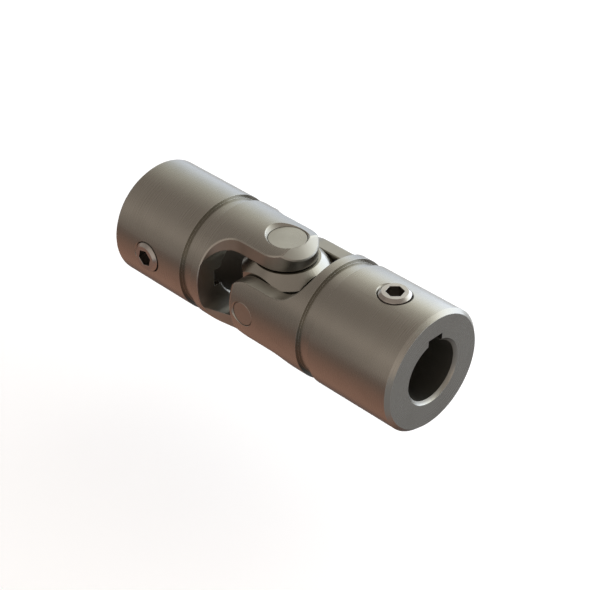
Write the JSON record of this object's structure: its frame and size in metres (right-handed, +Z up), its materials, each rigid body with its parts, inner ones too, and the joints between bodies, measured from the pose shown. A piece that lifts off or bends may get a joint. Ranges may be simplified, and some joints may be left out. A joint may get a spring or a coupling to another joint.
{
  "type": "universal joint",
  "caption": "Pin-and-block universal joint: crossed pins in a steel block join two forked hubs, each with a keyed bore and a set screw.",
  "frame": {"origin": "where the axes of the large pin and the small pin cross, at the middle of the straight joint", "axes": "+X along the shaft line from yoke A to yoke B, +Z up along the large pin, +Y along the small pin"},
  "size_m": [0.0952, 0.0324, 0.0324],
  "materials": {
    "yoke_steel": "fine turned and milled steel, satin, warm grey",
    "block_steel": "ground steel, satin",
    "pin_steel": "ground steel pin, faced ends",
    "screw_steel": "turned steel, satin, dark inside the socket"
  },
  "bodies": {
    "yoke_a": {"yoke_a": "yoke_steel", "set_screw_a": "screw_steel"},
    "cross": {"centre_block": "block_steel", "large_pin": "pin_steel", "small_pin": "pin_steel"},
    "yoke_b": {"yoke_b": "yoke_steel", "set_screw_b": "screw_steel"}
  },
  "joints": [
    {"name": "large_pin_hinge", "type": "hinge", "parent": "yoke_a", "child": "cross", "pos_m": [0, 0, 0], "axis": [0, 0, 1], "range_deg": [-35, 35]},
    {"name": "small_pin_hinge", "type": "hinge", "parent": "cross", "child": "yoke_b", "pos_m": [0, 0, 0], "axis": [0, 1, 0], "range_deg": [-35, 35]}
  ]
}
